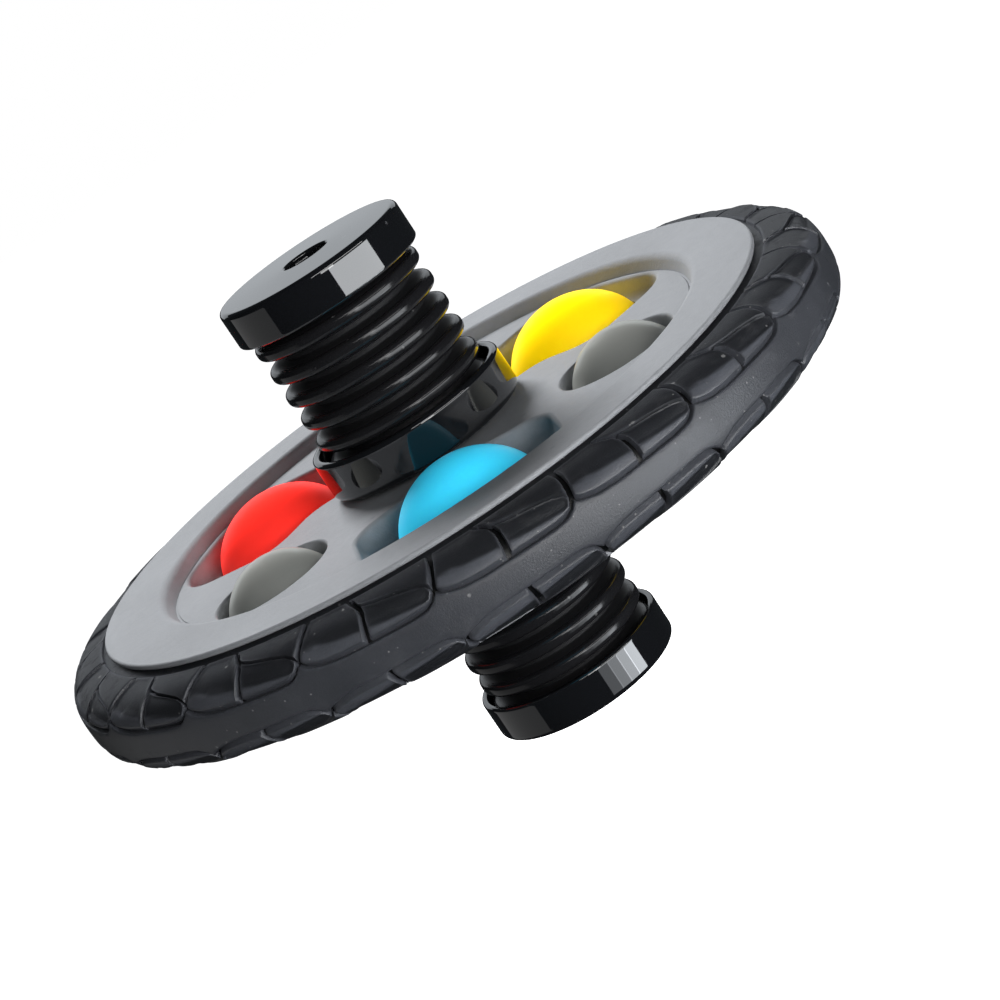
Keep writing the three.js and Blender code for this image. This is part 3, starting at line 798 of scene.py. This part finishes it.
def tyre_carcass(sizes):
    """The tyre under its blocks: the full section, sunk by the depth of the tread."""
    steps = 40
    section = []
    for i in range(steps + 1):
        theta = math.pi - math.pi * i / steps
        point = tyre_point(sizes, 0.0, theta, 0.0)
        share = math.sin(theta)
        out = Vector((point.x - RIM_RADIUS, 0, point.z)).normalized()
        point -= out * sizes.tread_depth * min(1.0, 0.35 + 1.6 * share)
        section.append(Vector((point.x, point.z)))
    foot = RIM_RADIUS - TYRE_SEAT_DEPTH
    bead = RIM_RADIUS - 0.3 * MM
    half = TYRE_HALF_WIDTH
    section += [Vector((bead, half)), Vector((foot, half)),
                Vector((foot, -half)), Vector((bead, -half))]
    return lathe(section, sides=152)


def join_into(bm, other):
    mesh = bpy.data.meshes.new("part")
    other.to_mesh(mesh)
    other.free()
    bm.from_mesh(mesh)
    bpy.data.meshes.remove(mesh)


class SPINNER_OT_tyre(Operator):
    """Make the tyre with its grooved tread"""
    bl_idname = "spinner.tyre"
    bl_label = "Tyre"

    def execute(self, context):
        sizes = context.scene.spinner_tyre
        whole = tyre_carcass(sizes)
        carcass_wear_and_shade = whole.verts.layers.float.new("wear_and_painted_light")
        for vert in whole.verts:
            # The bead keeps plain rubber; the rest of the carcass, the floor of the grooves, gets
            # painted shade.
            bead = vert.co.xy.length < RIM_RADIUS + BEAD_REACH
            vert[carcass_wear_and_shade] = BEAD_WEAR if bead else GROOVE_PAINTED_SHADE
        next_lead = [(x + PAIR_SPAN, y) for x, y in LEAD_LINE]
        blocks = bmesh.new()
        wear_and_painted_light = blocks.verts.layers.float.new("wear_and_painted_light")
        # each patch is its top, bottom, left and right line, columns, rows and if it is creased
        cross_top, cross_foot = CROSS_LINE[0][0], CROSS_LINE[-1][0]
        first_top = ((LEAD_LINE[0][0], 0.0), (4.0, 0.0)) + part_of(WEDGE_LINE, 7.0, cross_top)
        wedge_top = ((7.0, 0.0), (13.0, 0.0), (19.7, 0.0))
        patches = (
            (first_top, part_of(OUTER_LINE, 0.0, cross_foot), LEAD_LINE, CROSS_LINE, 12, 10, True),
            (part_of(WEDGE_LINE, cross_top, 18.6), part_of(OUTER_LINE, cross_foot, PAIR_SPAN),
             CROSS_LINE, END_LINE, 12, 10, True),
            (wedge_top, WEDGE_LINE[1:], WEDGE_LINE[:2], tuple(next_lead[:4]), 10, 6, False),
        )
        for mirror in (False, True):
            for top, bottom, left, right, columns, rows, creased in patches:
                tread_block(blocks, wear_and_painted_light, sizes, (top, bottom, left, right), columns, rows,
                            mirror, creased)
        repeat_round(blocks, sizes.repeats)
        bmesh.ops.recalc_face_normals(blocks, faces=blocks.faces)
        band = bmesh.new()
        band_wear_and_light = band.verts.layers.float.new("wear_and_painted_light")
        tread_band(band, band_wear_and_light, sizes)
        repeat_round(band, sizes.repeats)
        bmesh.ops.remove_doubles(band, verts=band.verts, dist=0.01 * MM)
        close_band(band, sizes)
        bmesh.ops.recalc_face_normals(band, faces=band.faces)
        join_into(whole, blocks)
        join_into(whole, band)
        tyre = to_object(whole, "moulded_tyre")
        smooth(tyre, 42.0)
        hand_over(tyre, "tyre", "wheel", ["tyre"], context.scene.spinner_colours)
        return {"FINISHED"}


# ---- balls -------------------------------------------------------------------------------------
def ball_piece(name, node, seam):
    """A ball with a fine parting line round its equator."""
    centre, radius = ball_place(node)
    height = highest(node)
    steps = 40
    section = []
    for i in range(steps + 1):
        angle = -math.pi / 2 + math.pi * i / steps
        section.append(Vector((radius * math.cos(angle), height * math.sin(angle))))
    middle = steps // 2
    section[0].x = section[-1].x = 0.0
    section[middle:middle + 1] = [
        Vector((radius, -seam)), Vector((radius - seam, 0.0)), Vector((radius, seam))]
    bm = lathe(section, sides=80, closed=False)
    bmesh.ops.translate(bm, vec=centre, verts=bm.verts)
    ball = to_object(bm, name)
    smooth(ball, 30.0)
    return ball


class SPINNER_OT_colour_balls(Operator):
    """Make the three coloured balls"""
    bl_idname = "spinner.colour_balls"
    bl_label = "Coloured Balls"

    def execute(self, context):
        for node, slot in zip(COLOUR_BALLS, ("blue_plastic", "yellow_plastic", "red_plastic")):
            ball = ball_piece(node + "_moulding", node, 0.03 * MM)
            hand_over(ball, slot, node, [node], context.scene.spinner_colours)
        return {"FINISHED"}


class SPINNER_OT_steel_balls(Operator):
    """Make the three satin steel balls"""
    bl_idname = "spinner.steel_balls"
    bl_label = "Steel Balls"

    def execute(self, context):
        for node in STEEL_BALLS:
            ball = ball_piece(node.replace("ball", "sphere"), node, 0.012 * MM)
            hand_over(ball, "satin_steel", node, [node], context.scene.spinner_colours)
        return {"FINISHED"}


# ---- bearing, axle and springs -----------------------------------------------------------------
class SPINNER_OT_bearing(Operator):
    """Finish the ball bearing, the axle and the stems"""
    bl_idname = "spinner.bearing"
    bl_label = "Bearing and Axle"

    def execute(self, context):
        colours = context.scene.spinner_colours
        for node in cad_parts:
            if node.startswith("bearing_cage"):
                dress(node, "brass", colours)
            elif "bearing" in node:
                dress(node, "polished_steel", colours)
            elif node == "axle" or node.endswith("_stem"):
                dress(node, "satin_steel", colours)
        return {"FINISHED"}


class SPINNER_OT_springs(Operator):
    """Make the two coil springs inside the grips"""
    bl_idname = "spinner.springs"
    bl_label = "Springs"

    def execute(self, context):
        turns = context.scene.spinner_grip.coils
        for side, turn in SIDES:
            node = f"{side}_spring"
            bottom, top = sorted((abs(lowest(node)), abs(highest(node))))
            coil = (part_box(node)[1].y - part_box(node)[0].y) / 2 - SPRING_WIRE
            bm = bmesh.new()
            circle = bmesh.ops.create_circle(bm, segments=10, radius=SPRING_WIRE,
                                             cap_ends=False)["verts"]
            bmesh.ops.rotate(bm, verts=circle, cent=(0, 0, 0),
                             matrix=Matrix.Rotation(math.pi / 2, 3, "X"))
            bmesh.ops.translate(bm, verts=circle, vec=(coil, 0, bottom + SPRING_WIRE))
            rings = bm.edges[:]
            steps = 36 * turns
            rise = (top - bottom - 2 * SPRING_WIRE) / steps
            bmesh.ops.spin(bm, geom=circle + rings, cent=(0, 0, 0), axis=(0, 0, 1),
                           dvec=(0, 0, rise), angle=2 * math.pi * turns, steps=steps)
            bmesh.ops.holes_fill(bm, edges=[e for e in bm.edges if e.is_boundary], sides=0)
            bmesh.ops.recalc_face_normals(bm, faces=bm.faces)
            bmesh.ops.transform(bm, matrix=turn, verts=bm.verts)
            spring = to_object(bm, f"{side}_coil")
            smooth(spring, 50.0)
            hand_over(spring, "satin_steel", "core", [node], context.scene.spinner_colours)
            end = SPRING_SEAT if side == "upper" else -SPRING_SEAT
            1.0 - PRESS_TRAVEL / (top - abs(end))
            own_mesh(spring)
        return {"FINISHED"}


# ---- grips -------------------------------------------------------------------------------------
def collar_outline(sizes):
    """Section of a collar: a spacer foot on the bearing and a cup round the bellows."""
    outer = outer_radius("upper_collar")
    inner = outer - sizes.wall
    bore = outer_radius("axle") + SLIP
    foot = highest("upper_wheel_shell") - 1.2 * MM + 0.4 * MM   # just above the sunk floor
    floor = foot + 1.1 * MM
    spacer = bore + 1.0 * MM
    return supported(rounded([
        (bore, COLLAR_FOOT, 0.0),
        (spacer, COLLAR_FOOT, 0.0),
        (spacer, foot, 0.0),
        (outer, foot, sizes.edge_round),
        (outer, COLLAR_TOP, 0.8 * sizes.edge_round),
        (inner, COLLAR_TOP, 0.25 * MM),
        (inner, floor, 0.3 * MM),
        (bore, floor, 0.0),
    ]), EDGE_SUPPORT)


def cap_outline(sizes):
    """Section of a cap: a plate with a screw hole, a boss inside and a skirt round the bellows."""
    outer = outer_radius("upper_cap")
    inner = outer - 0.6 * MM
    hole = sizes.hole_radius
    through = 1.12 * MM
    boss = 4.4 * MM
    ceiling = CAP_TOP - 1.3 * MM
    boss_foot = ceiling - 1.3 * MM
    ledge = CAP_TOP - 1.7 * MM
    return supported(rounded([
        (through, boss_foot, 0.0),
        (boss, boss_foot, 0.1 * MM),
        (boss, ceiling, 0.0),
        (inner, ceiling, 0.2 * MM),
        (inner, CAP_FOOT, 0.15 * MM),
        (outer, CAP_FOOT, 0.8 * sizes.edge_round),
        (outer, CAP_TOP - sizes.cap_crown, sizes.edge_round),
        (hole, CAP_TOP, 0.22 * MM),
        (hole, ledge, 0.1 * MM),
        (through, ledge, 0.0),
    ]), EDGE_SUPPORT)


def bellows_outline(sizes):
    """Section of a bellows: round-tipped ribs with round-bottomed grooves between them."""
    bottom = lowest("upper_bellows")
    top = highest("upper_bellows")
    pitch = (top - bottom) / sizes.ribs
    tip = sizes.rib_thickness / 2
    bore = sizes.groove_radius - 1.1 * MM
    corners = [(bore, top, 0.0), (bore, bottom, 0.0), (sizes.groove_radius, bottom, 0.0)]
    for i in range(sizes.ribs):
        middle = bottom + pitch * (i + 0.5)
        corners.append((sizes.rib_radius, middle - tip, 0.94 * tip))
        corners.append((sizes.rib_radius, middle + tip, 0.94 * tip))
        if i < sizes.ribs - 1:
            corners.append((sizes.groove_radius, middle + pitch * 0.40, 0.3 * tip))
            corners.append((sizes.groove_radius, middle + pitch * 0.60, 0.3 * tip))
    corners.append((sizes.groove_radius, top, 0.0))
    return rounded(corners, steps=7)


class SPINNER_OT_collars(Operator):
    """Make the two gloss black collars"""
    bl_idname = "spinner.collars"
    bl_label = "Collars"

    def execute(self, context):
        for side, turn in SIDES:
            bm = lathe(collar_outline(context.scene.spinner_grip), sides=128)
            bmesh.ops.transform(bm, matrix=turn, verts=bm.verts)
            collar = to_object(bm, f"{side}_cup")
            smooth(collar)
            hand_over(collar, "black_gloss", "core", [f"{side}_collar"],
                      context.scene.spinner_colours)
        return {"FINISHED"}


class SPINNER_OT_bellows(Operator):
    """Make the two ribbed bellows"""
    bl_idname = "spinner.bellows"
    bl_label = "Bellows"

    def execute(self, context):
        for side, turn in SIDES:
            bm = lathe(bellows_outline(context.scene.spinner_grip), sides=112)
            bmesh.ops.transform(bm, matrix=turn, verts=bm.verts)
            sleeve = to_object(bm, f"{side}_ribbed_sleeve")
            smooth(sleeve, 50.0)
            hand_over(sleeve, "bellows_rubber", "core", [f"{side}_bellows"],
                      context.scene.spinner_colours)
            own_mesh(sleeve)
        return {"FINISHED"}


class SPINNER_OT_caps(Operator):
    """Make the two gloss black finger caps"""
    bl_idname = "spinner.caps"
    bl_label = "Finger Caps"

    def execute(self, context):
        for side, turn in SIDES:
            bm = lathe(cap_outline(context.scene.spinner_grip), sides=128)
            bmesh.ops.transform(bm, matrix=turn, verts=bm.verts)
            cap = to_object(bm, f"{side}_finger_cap")
            smooth(cap)
            hand_over(cap, "black_gloss", f"{side}_end", [f"{side}_cap"],
                      context.scene.spinner_colours)
        return {"FINISHED"}


class SPINNER_OT_screws(Operator):
    """Make the two cap screws with their hexagon sockets"""
    bl_idname = "spinner.screws"
    bl_label = "Cap Screws"

    def execute(self, context):
        sizes = context.scene.spinner_grip
        head = outer_radius("upper_cap_screw")
        top = highest("upper_cap_screw")
        bottom = lowest("upper_cap_screw")
        section = rounded([
            (0.0, bottom, 0.0),
            (SCREW_SHANK, bottom, 0.2 * MM),
            (SCREW_SHANK, top - SCREW_HEAD, 0.0),
            (head, top - SCREW_HEAD, 0.1 * MM),
            (head, top, 0.35 * MM),
            (0.0, top, 0.0),
        ], closed=False)
        for side, turn in SIDES:
            screw = to_object(lathe(section, sides=64, closed=False), f"{side}_socket_screw")
            bm = bmesh.new()
            bmesh.ops.create_cone(bm, cap_ends=True, segments=6, radius1=0.58 * sizes.socket,
                                  radius2=0.62 * sizes.socket, depth=1.4 * MM)
            bmesh.ops.translate(bm, verts=bm.verts, vec=(0, 0, top + 0.1 * MM))
            cut_away(screw, [to_object(bm, "socket_cutter")])
            screw.data.transform(turn)
            smooth(screw, 30.0, weighted=True)
            hand_over(screw, "polished_steel", f"{side}_end", [f"{side}_cap_screw"],
                      context.scene.spinner_colours)
        return {"FINISHED"}


# ---- stage -------------------------------------------------------------------------------------
FLOOR_HEIGHT = -0.34
FLOOR_HALF_SIZE = 4.0
ROOM_LIGHT, MIRRORED_LIGHT, BACKDROP_LIGHT = 0.13, 0.022, 1.0
CAMERA_ELEVATION = math.radians(14.83)
CAMERA_ROLL = math.radians(-33.53)
CAMERA_OFFSET = Vector((-0.132, 0.071, -7.48))      # from the camera to the wheel, in rim radii
CAMERA_LENS, CAMERA_SENSOR = 102.3, 36.0
COOL, COOLER = (0.94, 0.97, 1.0), (0.90, 0.95, 1.0)
WHITE = (1.0, 1.0, 1.0)

# The two boxes light the surfaces and are not mirrored in them.
SOFT_BOXES = (
    # name, azimuth, elevation, distance, width, height, power
    ("key_box", 97, 33, 0.8, 0.26, 0.26, 24.0),
    ("front_box", -70, 7, 0.8, 0.34, 0.24, 5.6),
)
# The cards are small lights that give the gloss its reflections.
CARDS = (
    # name, azimuth, elevation, distance, width, height, power, tint
    ("back_card", 90, 14, 0.8, 1.00, 0.26, 0.56, COOLER),
    ("front_strip", -62, 20, 0.6, 0.80, 0.06, 1.3, WHITE),
    ("front_spot", -78, 3, 0.5, 0.14, 0.14, 0.40, WHITE),
    ("right_card", -49, -7, 0.5, 0.52, 0.11, 1.2, COOL),
    ("low_card_28", -28, -20, 0.5, 0.115, 0.11, 0.36, COOLER),
    ("low_card_41", -41, -20, 0.5, 0.115, 0.11, 0.24, COOLER),
    ("low_card_54", -54, -20, 0.5, 0.115, 0.11, 0.12, COOLER),
    ("low_card_67", -67, -20, 0.5, 0.115, 0.11, 0.05, COOLER),
    ("left_card", 168, -18, 0.5, 0.60, 0.30, 0.17, WHITE),
)


def soft_box(name, azimuth, elevation, distance, width, height, power, tint=WHITE, mirrored=False):
    """A rectangular area light aimed at the wheel's centre."""
    light = bpy.data.lights.new(name, "AREA")
    light.shape = "RECTANGLE"
    light.size = width
    light.size_y = height
    light.energy = power
    light.color = tint
    lamp = bpy.data.objects.new(name, light)
    bpy.context.scene.collection.objects.link(lamp)
    turn, tilt = math.radians(azimuth), math.radians(elevation)
    lamp.location = Vector((math.cos(turn) * math.cos(tilt), math.sin(turn) * math.cos(tilt),
                            math.sin(tilt))) * distance
    lamp.rotation_euler = (-lamp.location).to_track_quat("-Z", "Y").to_euler()
    lamp.visible_camera = False
    lamp.visible_glossy = mirrored


def white_floor():
    bm = bmesh.new()
    bmesh.ops.create_grid(bm, x_segments=4, y_segments=4, size=FLOOR_HALF_SIZE)
    bmesh.ops.translate(bm, verts=bm.verts, vec=(0, 0, FLOOR_HEIGHT))
    floor = to_object(bm, "floor")
    paper = Finish("white_paper")
    fibre = paper.noise(40 * MM, 3.0, 0.6)
    tone = paper.blend(fibre, (0.93, 0.93, 0.93), (0.95, 0.95, 0.95))
    floor.data.materials.append(paper.set(Base_Color=tone, Roughness=0.9, Emission_Color=WHITE,
                                          Emission_Strength=1.0))
    floor.visible_glossy = False
    floor.visible_diffuse = False


def studio_world(scene):
    """A room of even light that looks white to the camera and dark to the gloss."""
    world = bpy.data.worlds.new("studio")
    scene.world = world
    world.use_nodes = True
    nodes, links = world.node_tree.nodes, world.node_tree.links

    def light(made, rgb, strength):
        made.inputs["Color"].default_value = (*rgb, 1.0)
        made.inputs["Strength"].default_value = strength
        return made.outputs[0]

    def mixed(ray, one, other):
        made = nodes.new("ShaderNodeMixShader")
        for socket, source in zip(made.inputs, (path.outputs[ray], one, other)):
            links.new(source, socket)
        return made.outputs[0]

    room = light(nodes["Background"], (0.75, 0.78, 0.82), ROOM_LIGHT)
    backdrop = light(nodes.new("ShaderNodeBackground"), WHITE, BACKDROP_LIGHT)
    dark = light(nodes.new("ShaderNodeBackground"), (0.8, 0.9, 1.0), MIRRORED_LIGHT)
    path = nodes.new("ShaderNodeLightPath")
    around = mixed("Is Glossy Ray", room, dark)
    seen = mixed("Is Camera Ray", around, backdrop)
    links.new(seen, nodes["World Output"].inputs["Surface"])


def set_camera(scene):
    camera = bpy.data.objects.new("camera", bpy.data.cameras.new("camera"))
    scene.collection.objects.link(camera)
    scene.camera = camera
    back = Vector((0, -math.cos(CAMERA_ELEVATION), math.sin(CAMERA_ELEVATION)))
    right = Vector((1, 0, 0))
    up = back.cross(right)
    across = math.cos(CAMERA_ROLL) * right + math.sin(CAMERA_ROLL) * up
    above = -math.sin(CAMERA_ROLL) * right + math.cos(CAMERA_ROLL) * up
    turn = Matrix((across, above, back)).transposed()
    place = turn @ (CAMERA_OFFSET * RIM_RADIUS)
    camera.matrix_world = Matrix.Translation(-place) @ turn.to_4x4()
    camera.data.sensor_width = CAMERA_SENSOR
    camera.data.lens = CAMERA_LENS
    camera.data.clip_start = 0.01
    camera.data.clip_end = 20.0


class SPINNER_OT_stage(Operator):
    """Set up the floor, the lights and the camera"""
    bl_idname = "spinner.stage"
    bl_label = "Stage"

    def execute(self, context):
        context.scene.view_settings.view_transform = "Standard"
        white_floor()
        studio_world(context.scene)
        for light in SOFT_BOXES:
            soft_box(*light)
        for light in CARDS:
            soft_box(*light, mirrored=True)
        set_camera(context.scene)
        return {"FINISHED"}


# ---- panel and registration --------------------------------------------------------------------
OPERATORS = (
    SPINNER_OT_stage,
    SPINNER_OT_wheel_shells,
    SPINNER_OT_tyre,
    SPINNER_OT_colour_balls,
    SPINNER_OT_steel_balls,
    SPINNER_OT_bearing,
    SPINNER_OT_springs,
    SPINNER_OT_collars,
    SPINNER_OT_bellows,
    SPINNER_OT_caps,
    SPINNER_OT_screws,
)
SETTINGS = (
    ("spinner_tyre", SpinnerTyreSizes),
    ("spinner_wheel", SpinnerWheelSizes),
    ("spinner_grip", SpinnerGripSizes),
    ("spinner_colours", SpinnerColours),
)


class SPINNER_PT_panel(Panel):
    """Sizes, colours and pieces of the spinner"""
    bl_idname = "SPINNER_PT_panel"
    bl_label = "Bellows Grip Spinner"
    bl_space_type = "VIEW_3D"
    bl_region_type = "UI"
    bl_category = "Spinner"

    def draw(self, context):
        for name, group in SETTINGS:
            box = self.layout.box()
            for prop in group.__annotations__:
                box.prop(getattr(context.scene, name), prop)
        for operator in OPERATORS:
            self.layout.operator(operator.bl_idname)


def register():
    for name, group in SETTINGS:
        bpy.utils.register_class(group)
        setattr(bpy.types.Scene, name, PointerProperty(type=group))
    for operator in OPERATORS:
        bpy.utils.register_class(operator)
    bpy.utils.register_class(SPINNER_PT_panel)


def unregister():
    bpy.utils.unregister_class(SPINNER_PT_panel)
    for operator in reversed(OPERATORS):
        bpy.utils.unregister_class(operator)
    for name, group in reversed(SETTINGS):
        delattr(bpy.types.Scene, name)
        bpy.utils.unregister_class(group)


def main():
    register()
    for operator in OPERATORS:
        getattr(bpy.ops.spinner, operator.bl_idname.split(".")[1])()


if __name__ == "__main__":
    main()
